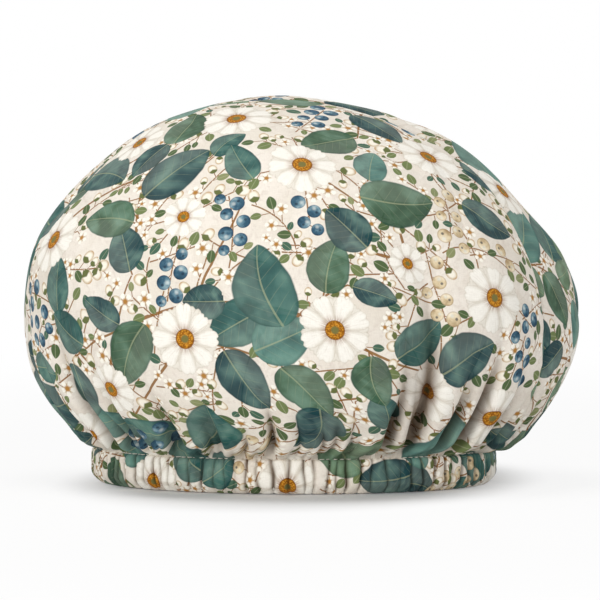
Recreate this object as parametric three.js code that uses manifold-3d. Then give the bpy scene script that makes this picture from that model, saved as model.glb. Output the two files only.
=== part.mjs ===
// Bouffant scrub cap: two cloth crown panels, gathered into a folded band that holds a loop of elastic.
// Millimetres, +Z up, the front towards -Y. The cap stands on its band, the origin below the crown's middle.
import * as THREE from "three";
import Module from "manifold-3d";

const wasm = await Module();
wasm.setup();

// Crown: an egg-shaped dome, widest at its equator, that overhangs the band
const crownHalfWidth = 135;
const crownHalfDepth = 120;
const crownRise = 111; // equator to top
const equatorHeight = 77;
const crownOverhang = 5; // how far the crown's lowest fold stands out past the band
const crownSeatGap = 0.6; // crown's lowest fold above the band's top edge
const topLean = 8; // the top leans towards -X
const clothThickness = 0.8;

// Gathers: small folds at the band, and broad folds that run higher up the crown
const gatherCount = 36;
const gatherDepth = 3.6;
const broadFoldCount = 13;
const broadFoldDepth = 3.4;
const foldStartShare = 0.12; // of the way from the equator down to the band

// Seam between the front and the back panel: over the top, and bowed forwards at the sides
const seamBow = 41.5;
const seamGap = 0.3;
const seamAllowance = 6;

// Band: a strip folded upwards at its lower edge, with a slot between its two walls
const bandHalfWidth = 97.3;
const bandHalfDepth = 82.5;
const bandHeight = 17;
const bandShift = 3; // the band stands off centre, towards -X
const bandOuterWall = 1.8;
const bandInnerWall = 0.8;
const bandFloor = 1;
const bandSlotWidth = 3.2;
const bandRound = 2.2; // how far the lower edge draws in to the flat that the cap stands on
const bandRoundHeight = 3;
const bandFlatInset = 0.8; // inner end of that flat, from the band's inner face
const pleatCount = 60;
const pleatDepth = 0.7;

// Elastic: one flat strip, its ends lapped and sewn at the back
const elasticThickness = 1.1;
const elasticWidth = 9.2;
const elasticLap = 16;
const elasticLapRise = 14; // length over which the upper end steps on to the lower one
const elasticLapGap = 0.2;

// Clearances between pieces
const slotClearance = 0.3;
const overrun = 5; // how far a cutting solid runs past what it cuts

// Numbers of points round a ring
const gatherPoints = 3 * gatherCount;
const pleatPoints = 3 * pleatCount;
const plainPoints = 40;
const elasticPoints = 112;
const seamPoints = 12;

const fullTurn = 2 * Math.PI;
const tuckOffset = bandOuterWall + slotClearance; // crown edge and elastic, in from the band's outside
const tuckThickness = bandSlotWidth - 2 * slotClearance;
const elasticFoot = bandFloor + bandRound / 2 + slotClearance;
const tuckFoot = elasticFoot + elasticWidth + slotClearance;
const edgeHeight = bandHeight + crownSeatGap;
const bandInset = bandOuterWall + bandSlotWidth + bandInnerWall;

const { smoothstep, lerp } = THREE.MathUtils;

// Gathers and pleats are uneven: equal shares of the way round become unequal angles.
function unevenTurn(share) {
  const turn = fullTurn * share;
  return turn + 0.05 * Math.sin(3 * turn + 0.7) + 0.026 * Math.sin(7 * turn + 2.1) + 0.009 * Math.sin(17 * turn);
}

// Half-width of the crown, or half-depth, at a level from -1 at the band through 0 at the equator to 1 at the top.
function reach(atEquator, atBand, level) {
  const narrowing = level > 0 ? 1 : 1 - (atBand / atEquator) ** 2;
  return atEquator * Math.sqrt(1 - narrowing * level * level);
}

const widthAt = (level) => reach(crownHalfWidth, bandHalfWidth + crownOverhang, level);
const depthAt = (level) => reach(crownHalfDepth, bandHalfDepth + crownOverhang, level);

function heightAt(level) {
  return equatorHeight + level * (level > 0 ? crownRise : equatorHeight - edgeHeight);
}

function leanAt(level) {
  return level > 0 ? topLean * level ** 1.3 : bandShift * smoothstep(-level, 0.5, 1);
}

// Depth of the folds at a level: none at the equator, most at the band.
function foldShare(level) {
  return Math.max(0, (-level - foldStartShare) / (1 - foldStartShare)) ** 1.4;
}

// Smooth crown without folds, moved along its normal by outwards.
function crownPoint(level, angle, outwards) {
  const step = level > 0.5 ? -1e-3 : 1e-3;
  const [width, depth] = [widthAt(level), depthAt(level)];
  const climb = heightAt(level + step) - heightAt(level);
  const widthSlope = (widthAt(level + step) - width) / climb;
  const depthSlope = (depthAt(level + step) - depth) / climb;
  const [c, s] = [Math.cos(angle), Math.sin(angle)];
  const normal = new THREE.Vector3(
    c / width,
    s / depth,
    -(c * c * widthSlope) / width - (s * s * depthSlope) / depth,
  ).normalize();
  return new THREE.Vector3(width * c, depth * s, heightAt(level))
    .addScaledVector(normal, outwards)
    .add(new THREE.Vector3(-leanAt(level), 0, 0));
}

// How far the cloth lies under the smooth crown, in its gathers and its broad folds.
function foldedIn(level, share, angle) {
  const gather = 0.5 - 0.5 * Math.cos(fullTurn * gatherCount * share);
  const broad = 0.5 - 0.5 * Math.cos(broadFoldCount * angle + Math.sin(2 * angle));
  return (gatherDepth * gather + broadFoldDepth * broad) * foldShare(level);
}

function crownRing(level, count) {
  return Array.from({ length: count }, (_, i) => {
    const angle = unevenTurn(i / count);
    return crownPoint(level, angle, -foldedIn(level, i / count, angle));
  });
}

// The crown's inside is smooth: one cloth below the deepest fold.
function liningRing(level, inset) {
  const under = (gatherDepth + broadFoldDepth) * foldShare(level) + inset;
  return Array.from({ length: plainPoints }, (_, i) => crownPoint(level, (fullTurn * i) / plainPoints, -under));
}

function topPoint(inset) {
  return new THREE.Vector3(-topLean, 0, equatorHeight + crownRise - inset);
}

// A ring round the band, moved in from the outside of its pleats.
function bandRing(inset, height, count = plainPoints, pleat = 0) {
  return Array.from({ length: count }, (_, i) => {
    const angle = count > plainPoints ? unevenTurn(i / count) : (fullTurn * i) / count;
    const valley = pleat * (0.5 - 0.5 * Math.cos(fullTurn * pleatCount * (i / count)));
    const across = inset + valley * (0.7 + 0.3 * Math.sin(5 * angle));
    const x = (bandHalfWidth - across) * Math.cos(angle) - bandShift;
    return new THREE.Vector3(x, (bandHalfDepth - across) * Math.sin(angle), height);
  });
}

// Triangles between two closed rings, which may differ in their number of points.
function joinRings(faces, low, high) {
  let [i, j] = [0, 0];
  while (i < low.length || j < high.length) {
    const [a, b] = [low[i % low.length], high[j % high.length]];
    if ((i + 1) * high.length <= (j + 1) * low.length) {
      i += 1;
      faces.push(a, low[i % low.length], b);
    } else {
      j += 1;
      faces.push(a, high[j % high.length], b);
    }
  }
}

function solidFrom(points, faces) {
  const vertProperties = new Float32Array(points.flatMap((p) => [p.x, p.y, p.z]));
  return new wasm.Manifold(new wasm.Mesh({ numProp: 3, vertProperties, triVerts: new Uint32Array(faces) }));
}

// A solid through rings from its foot to its head. A tube joins the last ring to the first; a dome closes on
// the middle of its foot and on a top point.
function solidOfRings(rings, top) {
  const points = rings.flat();
  const faces = [];
  let next = 0;
  const index = rings.map((ring) => ring.map(() => next++));
  index.slice(1).forEach((ring, i) => joinRings(faces, index[i], ring));
  if (top) {
    const foot = rings[0].reduce((sum, p) => sum.add(p), new THREE.Vector3()).divideScalar(rings[0].length);
    points.push(foot, top);
    index[0].forEach((a, i) => faces.push(next, a, index[0].at(i - 1)));
    index.at(-1).forEach((a, i) => faces.push(index.at(-1).at(i - 1), a, next + 1));
  } else {
    joinRings(faces, index.at(-1), index[0]);
  }
  return solidFrom(points, faces);
}

// Levels of the crown's rings, as shares of the way from the equator to the band (below 0) or to the top.
const gatherShares = [-1, -0.9, -0.73];
const middleShares = [-0.45, 0, 0.28, 0.52, 0.72];
const topShares = [0.87, 0.965];

// Everything inside the crown's outer surface, down to the edge that is tucked into the band.
function crownOutside() {
  const tuck = [tuckFoot, bandHeight + slotClearance].map((z) => bandRing(tuckOffset, z, gatherPoints));
  const gathers = gatherShares.map((level) => crownRing(level, gatherPoints));
  const middle = middleShares.map((level) => crownRing(level, gatherPoints / 2));
  const top = topShares.map((level) => crownRing(level, gatherPoints / 4));
  return solidOfRings([...tuck, ...gathers, ...middle, ...top], topPoint(0));
}

// Everything inside the crown's inner surface, or further in by inset.
function crownInside(inset = clothThickness) {
  const inwards = tuckOffset + tuckThickness + inset - clothThickness;
  const tuck = [tuckFoot - overrun, edgeHeight].map((z) => bandRing(inwards, z));
  const levels = [...gatherShares.slice(1), ...middleShares, ...topShares];
  return solidOfRings([...tuck, ...levels.map((level) => liningRing(level, inset))], topPoint(inset));
}

// A block over all or part of the plan on one side of the seam, from near the seam out to far from it.
function besideSeam(side, near, far, foot) {
  const reachX = crownHalfWidth + overrun;
  const line = Array.from({ length: seamPoints + 1 }, (_, i) => {
    const x = lerp(-reachX, reachX, i / seamPoints);
    return new THREE.Vector2(x, -seamBow * (x / crownHalfWidth) ** 2);
  });
  const shape = new THREE.Shape([
    ...line.map((p) => new THREE.Vector2(p.x, p.y + side * near)),
    ...line.reverse().map((p) => new THREE.Vector2(p.x, p.y + side * far)),
  ]);
  const depth = equatorHeight + crownRise + overrun - foot;
  const block = new THREE.ExtrudeGeometry(shape, { depth, bevelEnabled: false, curveSegments: 1 });
  return solidOfGeometry(block.translate(0, 0, foot));
}

// A closed three.js geometry as a solid, its shared corners merged.
function solidOfGeometry(geometry) {
  const position = geometry.index ? geometry.toNonIndexed().getAttribute("position") : geometry.getAttribute("position");
  const points = [];
  const seen = new Map();
  const faces = Array.from({ length: position.count }, (_, i) => {
    const p = new THREE.Vector3().fromBufferAttribute(position, i);
    const key = p.toArray().map((v) => v.toFixed(4)).join();
    if (!seen.has(key)) seen.set(key, points.push(p) - 1);
    return seen.get(key);
  });
  return solidFrom(points, faces);
}

// One crown panel: its half of the shell, with the seam allowance turned inwards along the seam.
function crownPanel(side) {
  const half = besideSeam(side, seamGap / 2, 2 * crownHalfDepth + seamBow, 0);
  const strip = besideSeam(side, seamGap / 2, seamGap / 2 + clothThickness, edgeHeight + seamAllowance);
  const shell = crownOutside().subtract(crownInside()).intersect(half);
  const allowance = crownInside(clothThickness / 2).subtract(crownInside(seamAllowance)).intersect(strip);
  return shell.add(allowance);
}

// The band's strip: outer wall with pleats, fold at the foot, inner wall, and the slot between them.
function bandCasing() {
  const slotInset = bandOuterWall + bandSlotWidth;
  return solidOfRings([
    bandRing(bandRound, 0, pleatPoints),
    bandRing(bandRound / 4, bandRoundHeight * 0.6, pleatPoints, pleatDepth / 2),
    bandRing(0, 2 * bandRoundHeight, pleatPoints, pleatDepth),
    bandRing(bandRound / 8, bandHeight, pleatPoints, pleatDepth),
    bandRing(bandOuterWall, bandHeight),
    bandRing(bandOuterWall, bandFloor + bandRound / 2),
    bandRing(bandOuterWall + bandRound / 2, bandFloor),
    bandRing(slotInset - bandRound / 4, bandFloor),
    bandRing(slotInset, bandFloor + bandRound / 2),
    bandRing(slotInset, bandHeight),
    bandRing(bandInset, bandHeight),
    bandRing(bandInset, bandRoundHeight / 2),
    bandRing(bandInset - bandFlatInset, 0),
  ]);
}

// The elastic runs once round inside the slot. Its last end steps inwards and laps over its first.
function elasticBand() {
  const roundBand = Math.PI * (bandHalfWidth + bandHalfDepth - 2 * tuckOffset);
  const lap = elasticLap / roundBand;
  const rise = elasticLapRise / roundBand;
  const sections = Array.from({ length: elasticPoints + 1 }, (_, i) => {
    const share = (i / elasticPoints) * (1 + lap);
    const lapped = smoothstep(share, 1 - rise, 1) * (elasticThickness + elasticLapGap);
    const angle = fullTurn * (share + 0.25 - lap / 2);
    const near = tuckOffset + lapped;
    const corner = (inset, z) => {
      const x = (bandHalfWidth - inset) * Math.cos(angle) - bandShift;
      return new THREE.Vector3(x, (bandHalfDepth - inset) * Math.sin(angle), z);
    };
    const head = elasticFoot + elasticWidth;
    const far = near + elasticThickness;
    return [corner(near, elasticFoot), corner(near, head), corner(far, head), corner(far, elasticFoot)];
  });
  const faces = [];
  sections.slice(1).forEach((_, i) => {
    [0, 1, 2, 3].forEach((k) => {
      const [a, b] = [4 * i + k, 4 * i + ((k + 1) % 4)];
      faces.push(a, a + 4, b, b, a + 4, b + 4);
    });
  });
  const last = 4 * elasticPoints;
  faces.push(0, 1, 2, 0, 2, 3, last, last + 2, last + 1, last, last + 3, last + 2);
  return solidFrom(sections.flat(), faces);
}

// Materials
const printedCotton = new THREE.MeshStandardMaterial({ color: 0xb9c4b4, roughness: 0.85, metalness: 0 });
const bandCotton = new THREE.MeshStandardMaterial({ color: 0xc9cbb9, roughness: 0.85, metalness: 0 });
const whiteElastic = new THREE.MeshStandardMaterial({ color: 0xf1efe9, roughness: 0.9, metalness: 0 });

function addPiece(group, name, solid, material) {
  const made = solid.getMesh();
  const position = new Float32Array(made.numVert * 3);
  for (let i = 0; i < made.numVert; i++) {
    position.set(made.vertProperties.subarray(i * made.numProp, i * made.numProp + 3), i * 3);
  }
  const geometry = new THREE.BufferGeometry()
    .setAttribute("position", new THREE.BufferAttribute(position, 3))
    .setIndex(new THREE.BufferAttribute(made.triVerts, 1));
  geometry.computeVertexNormals();
  const mesh = new THREE.Mesh(geometry, material);
  mesh.name = name;
  group.add(mesh);
  console.log(name, solid.numTri(), "triangles");
}

const cap = new THREE.Group();
addPiece(cap, "crown_front", crownPanel(-1), printedCotton);
addPiece(cap, "crown_back", crownPanel(1), printedCotton);
addPiece(cap, "band_casing", bandCasing(), bandCotton);
addPiece(cap, "elastic_band", elasticBand(), whiteElastic);

export default cap;
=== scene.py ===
import math

import bpy
import numpy as np
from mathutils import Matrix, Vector
from mathutils.kdtree import KDTree


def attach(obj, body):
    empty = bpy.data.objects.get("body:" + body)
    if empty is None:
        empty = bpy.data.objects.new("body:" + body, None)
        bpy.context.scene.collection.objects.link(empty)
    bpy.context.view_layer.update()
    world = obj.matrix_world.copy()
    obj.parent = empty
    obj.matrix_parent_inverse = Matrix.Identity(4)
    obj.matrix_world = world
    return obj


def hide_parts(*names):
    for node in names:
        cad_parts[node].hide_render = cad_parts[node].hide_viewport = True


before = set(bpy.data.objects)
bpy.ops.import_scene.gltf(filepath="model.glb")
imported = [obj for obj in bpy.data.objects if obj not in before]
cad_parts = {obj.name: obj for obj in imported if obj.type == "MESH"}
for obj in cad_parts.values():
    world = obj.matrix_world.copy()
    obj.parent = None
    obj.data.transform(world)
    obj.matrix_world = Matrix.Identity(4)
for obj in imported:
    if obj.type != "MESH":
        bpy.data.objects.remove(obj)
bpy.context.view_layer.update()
mm = 0.001  # the cap is worked out in millimetres
print("frame loaded")

# the crown, with levels from -1 at its edge through 0 at its widest to 1 at its top
crown = {
    "halfWidth": 135.0,
    "halfDepth": 120.0,
    "rise": 108.2,  # from the widest level to the top
    "equator": 77.0,
    "edge": 17.6,
    "edgeHalfWidth": 102.3,
    "edgeHalfDepth": 87.5,
    "topLean": 8.0,
    "midLean": 1.7,
    "bandShift": 3.0,
    "seamBow": 41.5,
    "seamGap": 0.3,
    "allowance": (1.2, 2.6, 4.2, 6.0),  # rows of the seam allowance, from the seam
    "tucked": (4.6, 2.8, 1.2),  # rows below the stitches
    "tuckHeight": 16.9,
    "tuckInset": 2.75,
    "thickness": 0.45,
    "frontColumns": 500,
    "backColumns": 640,
    # how deep a valley is, in millimetres, where its painted shade is full
    "fullShadeValley": 9.5,
}


def mix(a, b, t):
    return a + (b - a) * t


def ease(low, high, x):
    t = np.clip((x - low) / (high - low), 0, 1)
    return t * t * (3 - 2 * t)


def hump(x, width):
    return np.exp(-((x / width) ** 2))


def unit(v):
    return v / np.maximum(np.linalg.norm(v, axis=-1, keepdims=True), 1e-9)


def wrapped(angle):
    return (angle + np.pi) % (2 * np.pi) - np.pi


# how much narrower the edge is than the widest level
narrowX = 1 - (crown["edgeHalfWidth"] / crown["halfWidth"]) ** 2
narrowY = 1 - (crown["edgeHalfDepth"] / crown["halfDepth"]) ** 2
below = crown["equator"] - crown["edge"]


def sizesAt(level):  # half-width, half-depth, height and lean
    up = level > 0
    width = crown["halfWidth"] * np.sqrt(np.maximum(1 - np.where(up, 1, narrowX) * level**2, 0))
    depth = crown["halfDepth"] * np.sqrt(np.maximum(1 - np.where(up, 1, narrowY) * level**2, 0))
    height = crown["equator"] + level * np.where(up, crown["rise"], below)
    topLean = crown["topLean"] * np.maximum(level, 0) ** 1.3
    lean = np.where(up, topLean, crown["bandShift"] * ease(0.9, 1, -level))
    return width, depth, height, lean + crown["midLean"] * hump(level, 0.45)


def smoothCrown(level, turn):  # points and outward normals of the crown without folds
    width, depth, height, lean = sizesAt(level)
    c, s = np.cos(turn), np.sin(turn)
    point = np.stack([width * c, depth * s, height + 0 * c], -1)
    safeX, safeY = np.maximum(width, 1e-6), np.maximum(depth, 1e-6)
    centre = np.array([0, 0, crown["equator"]])
    upper = (point - centre) / np.array([crown["halfWidth"], crown["halfDepth"], crown["rise"]]) ** 2
    slopeX = narrowX * level * crown["halfWidth"] ** 2 / (safeX * below)
    slopeY = narrowY * level * crown["halfDepth"] ** 2 / (safeY * below)
    lower = np.stack([c / safeX, s / safeY, c * c * slopeX / safeX + s * s * slopeY / safeY], -1)
    normal = unit(np.where((level + 0 * c)[..., None] > 0, upper, lower))
    point[..., 0] -= lean
    return point, normal


# arc is the length along a meridian, from the crown's edge up
fineLevel = np.concatenate([np.linspace(-1, 0, 200)[:-1], np.sin(np.linspace(0, np.pi / 2, 400))])
fineWidth, fineDepth, fineHeight, _ = sizesAt(fineLevel)
fineRadius = (fineWidth + fineDepth) / 2
fineArc = np.concatenate([[0], np.cumsum(np.hypot(np.diff(fineRadius), np.diff(fineHeight)))])
topArc = fineArc[-1]
equatorArc = np.interp(0, fineLevel, fineArc)


def levelAt(arc):
    return np.interp(arc, fineArc, fineLevel)


def radiusAt(arc):
    return np.interp(arc, fineArc, fineRadius)


def seamTurn(level, side):  # the angle at which the seam crosses a level: side 1 on the right, -1 on the left
    width, depth, _, lean = sizesAt(level)
    depth = np.maximum(depth, 1e-6)
    turn = np.full_like(np.asarray(level, float), -0.3)
    for _ in range(40):  # the angle settles, because each bow moves it a little less
        x = side * width * np.cos(turn) - lean
        rise = np.clip(crown["seamBow"] * (x / crown["halfWidth"]) ** 2 / depth, 0, 0.95)
        turn = mix(turn, -np.arcsin(rise), 0.6)
    return turn if side > 0 else -np.pi - turn


# folds; depths, reaches and widths are in millimetres
folding = {
    "finePleats": {"count": 98, "depths": (1.6, 3.0), "reaches": (12, 30), "uneven": 0.38},
    "middlePleats": {"count": 45, "depths": (4.4, 8.8), "reaches": (24, 70), "uneven": 0.42},
    "middleGrowth": 9,
    # the folds of the front, each with its angle in degrees, depth, reach, half-width and drift
    "front": [
        (-60, 10.5, 90, 2.4, 0.0002), (-51.5, 13.5, 124, 2.5, -0.0004), (-43.5, 9.0, 76, 2.2, 0.0),
        (-36, 12.5, 90, 2.4, 0.0001), (-26, 8.6, 66, 2.2, 0.0), (-74, 5.4, 52, 2.0, 0.0002),
        (-90, 4.6, 50, 2.0, 0.0), (-104, 5.6, 56, 2.0, -0.0002), (-118, 4.4, 46, 2.0, 0.0002),
        (-131, 8.0, 76, 2.6, 0.0), (-141, 10.0, 98, 2.8, -0.0008), (-152, 8.0, 72, 2.4, -0.0006),
        (-167, 6.4, 62, 2.4, 0.0), (-9, 4.4, 58, 2.6, 0.0),
    ],
    "backCount": 15,
    "backFirst": 21,
    "backPitch": 10.6,
    "backSizes": ((4.4, 10), (50, 120), (2.2, 3.0)),
    "backDrift": 0.0004,
    "backJitter": 4,
    "foldStrength": 1.25,
    "sides": (0.75, 1.35),  # one side of a fold is steeper than the other
    "widthShare": 0.88,
    "widening": 0.052,  # per millimetre up the crown
    "sways": ((0.0009, 5, 1, 0), (0.0006, 13, 0, 0.05)),  # size, count, phase and climb
    "bumps": 16,
    "bumpLength": (55, 120),
    "bumpHeight": (0.25, 0.55),
    "bumpsFrom": (20, 70),
    # the creases of the front, each with its angle in degrees, arc, heading, length, depth and width
    "creases": [
        (-36, 135, 1.2, 34, 1.5, 6.5),
        (-52, 84, 1.35, 42, 1.3, 6),
        (-128, 92, 1.9, 40, 1.0, 7),
        (-95, 168, 0.5, 40, 0.8, 8),
    ],
    "moreCreases": 30,
    "creaseRanges": ((0, 2 * np.pi), (60, 200), (0, np.pi), (20, 50), (0.6, 1.5), (4.5, 8.5)),
    # at the stitches no valley is deeper than the band's pleats
    "edgeMost": 3.0,
    "mostGrowth": 1.3,
}
foldRng = np.random.default_rng(21)


class Pleats:
    # round ridges side by side with narrow valleys between them, each valley with its own depth and reach
    def __init__(self, count, depths, reaches, uneven):
        steps = foldRng.uniform(1 - uneven, 1 + uneven, count)
        self.turns = np.cumsum(steps) / steps.sum() * 2 * np.pi
        self.depth = foldRng.uniform(*depths, count)
        self.reach = foldRng.uniform(*reaches, count)

    def at(self, turn, arc, growth):  # growth is the arc over which the pleats come to their full depth
        count = len(self.turns)
        t = (turn - self.turns[0]) % (2 * np.pi) + self.turns[0]
        after = np.searchsorted(self.turns, t, side="right") % count
        before = after - 1
        low, high = self.turns[before], self.turns[after]
        low = np.where(low > t, low - 2 * np.pi, low)
        high = np.where(high <= t, high + 2 * np.pi, high)
        x = (t - low) / (high - low) * 2 - 1
        own = np.where(x < 0, before, after) % count
        fade = np.clip(1 - arc / self.reach[own], 0, 1)
        grown = 1 if growth == 0 else 0.45 + 0.55 * ease(0, growth, arc)
        return self.depth[own] * np.abs(x) ** 2.3 * fade**1.3 * grown


finePleats = Pleats(**folding["finePleats"])
middlePleats = Pleats(**folding["middlePleats"])


def makeFolds():  # broad valleys that rise from the gathered edge: turn, depth, reach, half-width and drift
    rows = list(folding["front"])
    for k in range(folding["backCount"]):
        jitter = foldRng.uniform(-folding["backJitter"], folding["backJitter"])
        turn = folding["backFirst"] + k * folding["backPitch"] + jitter
        sizes = [foldRng.uniform(*span) for span in folding["backSizes"]]
        rows.append((turn, *sizes, foldRng.normal(0, folding["backDrift"])))
    return np.array([[math.radians(turn), *rest] for turn, *rest in rows])


def makeBumps():  # long low waves through space: direction, phase and size
    waves = []
    for _ in range(folding["bumps"]):
        direction = unit(foldRng.normal(size=3)) * 2 * np.pi / foldRng.uniform(*folding["bumpLength"])
        waves.append((direction, foldRng.uniform(0, 6.3), foldRng.uniform(*folding["bumpHeight"])))
    return waves


def makeCreases():  # short soft dents: turn, arc, heading, length, depth and width
    rows = [(math.radians(turn), *rest) for turn, *rest in folding["creases"]]
    for _ in range(folding["moreCreases"]):
        rows.append(tuple(foldRng.uniform(*span) for span in folding["creaseRanges"]))
    return rows


folds = makeFolds()
bumps = makeBumps()
creases = makeCreases()


def foldedIn(turn, arc, point):  # how far the cloth lies under the smooth crown, and its valleys alone
    radius = radiusAt(arc)
    swayed = turn
    for size, count, phase, climb in folding["sways"]:
        swayed = swayed + size * arc * np.sin(count * turn + phase + climb * arc)
    deep = finePleats.at(turn, arc, 0) + middlePleats.at(swayed, arc, folding["middleGrowth"])
    for k, (foldTurn, depth, reach, halfWidth, drift) in enumerate(folds):
        lean = folding["sides"][k % 2]
        rows = arc[:, 0] < reach
        if not rows.any():
            continue
        a = arc[rows]
        along = np.clip(1 - a / reach, 0, 1)
        across = wrapped(turn[rows] - foldTurn - drift * a) * radius[rows]
        across = across / (folding["widthShare"] * halfWidth + folding["widening"] * a)
        across = np.where(across > 0, across * lean, across * (sum(folding["sides"]) - lean))
        swell = ease(-2, 9, a) * 0.6 + 0.4
        profile = np.exp(-((across**2 + 0.04) ** 0.7))
        deep[rows] += folding["foldStrength"] * depth * along**1.25 * swell * profile
    most = folding["edgeMost"] + folding["mostGrowth"] * arc
    deep = deep / (1 + (deep / most) ** 3) ** (1 / 3)
    valley = deep.copy()
    for direction, phase, size in bumps:
        deep += size * np.sin(point @ direction + phase) * ease(*folding["bumpsFrom"], arc)
    for creaseTurn, creaseArc, heading, length, depth, width in creases:
        x = wrapped(turn - creaseTurn) * radius
        y = arc - creaseArc
        along = x * math.cos(heading) + y * math.sin(heading)
        across = -x * math.sin(heading) + y * math.cos(heading)
        deep += depth * hump(along, length) * hump(across, width) * np.where(across > 0, 1, 0.8)
    return deep, valley


def rowArcs():  # rows of the crown's grid, close together at the gathers
    steps = []
    arc = 0.0
    while arc < topArc - 0.4:
        steps.append(arc)
        arc += float(np.interp(arc, [0, 20, 60, 110, 200], [0.7, 0.8, 1.1, 1.5, 1.7]))
    return np.array(steps + [topArc - 0.25])


crownArcs = rowArcs()

# slow forms of the crown, in millimetres; a place is an arc or a distance from the seam, a reach goes with it
forms = {
    "seamCrease": {"depth": 1.8, "reach": 1.5},
    "seamDip": {"depth": 0.5, "reach": 11},
    # the back panel stands up behind the seam near the top: across the cap, its reach there and its height
    "backRise": ((-12, 44, 1.0), (50, 34, 2.9)),
    "backRisePlace": 15,
    "backRiseReach": 14,
    "backRiseFrom": (110, 160),
    # the fullness just above the band, and where it hangs lowest on the right
    "sag": {"height": 1.7, "place": 7, "reach": 7},
    "rightSag": {"height": 2.3, "turn": -0.12, "turnReach": 0.45, "place": 2.6, "reach": 3},
    # the stitches draw the edge in to the band; between folds the cloth puffs straight out over them
    "pinch": 4.6,
    "pinchInFold": 5.0,
    "pinchInPuff": 3.0,
}


def seamEnds(side):  # the angles at which a panel starts and ends, one row per arc
    level = levelAt(crownArcs[:, None])
    right, left = seamTurn(level, 1), seamTurn(level, -1)
    return (left, right) if side < 0 else (right, left + 2 * np.pi)


def crownSurface(side, turn):  # smooth and folded points of a panel, one row per arc, and its valleys' depth
    arc = crownArcs[:, None] + 0 * turn
    start, end = seamEnds(side)
    smooth, normal = smoothCrown(levelAt(arc), turn)
    fromSeam = np.maximum(np.minimum(turn - start, end - turn), 0) * radiusAt(arc)
    deep, valley = foldedIn(turn, arc, smooth)
    creased = forms["seamCrease"]
    crease = creased["depth"] * np.exp(-fromSeam / creased["reach"])
    deep += crease + forms["seamDip"]["depth"] * hump(fromSeam, forms["seamDip"]["reach"])
    if side > 0:
        x = smooth[..., 0]
        along = sum(height * hump(x - place, reach) for place, reach, height in forms["backRise"])
        across = hump(fromSeam - forms["backRisePlace"], forms["backRiseReach"])
        deep -= along * across * ease(*forms["backRiseFrom"], arc)
    sag, right = forms["sag"], forms["rightSag"]
    deep -= sag["height"] * hump(arc - sag["place"], sag["reach"])
    byTurn = hump(wrapped(turn - right["turn"]), right["turnReach"])
    deep -= right["height"] * byTurn * hump(arc - right["place"], right["reach"])
    puff = 0.5 + 0.5 * np.tanh(1.2 - deep / 1.6)
    pinch = forms["pinch"] * np.exp(-arc / mix(forms["pinchInFold"], forms["pinchInPuff"], puff))
    outwards = np.stack([np.cos(turn), np.sin(turn), 0 * turn], -1)
    point = smooth - normal * deep[..., None] - outwards * pinch[..., None]
    point[..., 1] += crown["seamGap"] / 2 * side * np.exp(-(fromSeam / creased["reach"]))
    return smooth, point, valley + crease


def lengthShares(points):
    run = np.cumsum(np.linalg.norm(np.diff(points, axis=1), axis=-1), 1)
    run = np.concatenate([0 * run[:, :1], run], 1)
    return run / run[:, -1:]


# Columns are threads of the cloth, so folds take their share of the columns and of the print.
# Gives one panel's outer points, angles, angles on the cloth before it was folded, and the valleys' depth.
def crownGrid(side):
    columns = crown["frontColumns"] if side < 0 else crown["backColumns"]
    start, end = seamEnds(side)
    fine = mix(start, end, np.linspace(0, 1, 2 * columns + 1)[None, :])
    smooth, folded, _ = crownSurface(side, fine)
    taken = lengthShares(folded)
    blur = hump(np.arange(-6, 7), 2.6)  # neighbouring threads keep nearly the same share
    padded = np.pad(taken, ((6, 6), (0, 0)), mode="edge")
    taken = sum(w * padded[k : k + len(taken)] for k, w in enumerate(blur)) / blur.sum()
    plain = lengthShares(smooth)
    share = np.linspace(0, 1, columns + 1)
    turn = np.array([np.interp(share, a, t) for a, t in zip(taken, fine)])
    onCloth = np.array([np.interp(share, a, t) for a, t in zip(plain, fine)])
    _, point, valley = crownSurface(side, turn)
    return point, turn, onCloth, valley


print("shape functions ready")

# the cloth before it was gathered, which carries the print
fullness = 0.17
clothArc = np.concatenate([np.arange(-60, 0, 1.0), np.linspace(0, topArc, 700)])
clothLevel = levelAt(np.maximum(clothArc, 0))
clothWidth, clothDepth, clothHeight, _ = sizesAt(clothLevel)
clothWide = 1 + fullness * np.clip(1 - clothArc / equatorArc, 0, 1) ** 1.3
clothWide = np.where(clothArc < 0, 1 + fullness, clothWide)
clothWidth, clothDepth = clothWidth * clothWide, clothDepth * clothWide
clothMean = (clothWidth + clothDepth) / 2
clothDrop = np.sqrt(np.maximum(1 - np.gradient(clothMean, clothArc) ** 2, 0.04))
clothDown = np.concatenate([[0], np.cumsum((clothDrop[1:] + clothDrop[:-1]) / 2 * np.diff(clothArc))])
clothDown -= np.interp(equatorArc, clothArc, clothDown)
clothHeight = np.where(clothArc > equatorArc, clothHeight, crown["equator"] + clothDown)


def clothPoint(turn, arc):
    width, depth = np.interp(arc, clothArc, clothWidth), np.interp(arc, clothArc, clothDepth)
    height = np.interp(arc, clothArc, clothHeight) + 0 * turn
    return np.stack([width * np.cos(turn), depth * np.sin(turn), height], -1)


def tangents(turn, arc):  # a point, the directions across and up the cloth, and the length of one radian
    p = clothPoint(turn, arc)
    across = clothPoint(turn + 1e-3, arc) - p
    up = clothPoint(turn, arc + 0.5) - p
    if arc > topArc - 1:
        up = p - clothPoint(turn, arc - 0.5)
    return p, unit(across), unit(up), np.linalg.norm(across) / 1e-3


def walk(turn, arc, heading, step):  # heading is a direction in space, laid into the cloth again at the end
    _, across, up, perTurn = tangents(turn, arc)
    turn += float(heading @ across) * step / max(perTurn, 2)
    arc += float(heading @ up) * step
    if arc > topArc:
        turn, arc = turn + np.pi, 2 * topArc - arc
    _, across, up, _ = tangents(turn, arc)
    flat = across * (heading @ across) + up * (heading @ up)
    return turn, arc, unit(flat)


def turned(turn, arc, heading, angle):
    _, across, up, _ = tangents(turn, arc)
    normal = np.cross(across, up)
    return unit(heading * math.cos(angle) + np.cross(normal, heading) * math.sin(angle))


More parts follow.
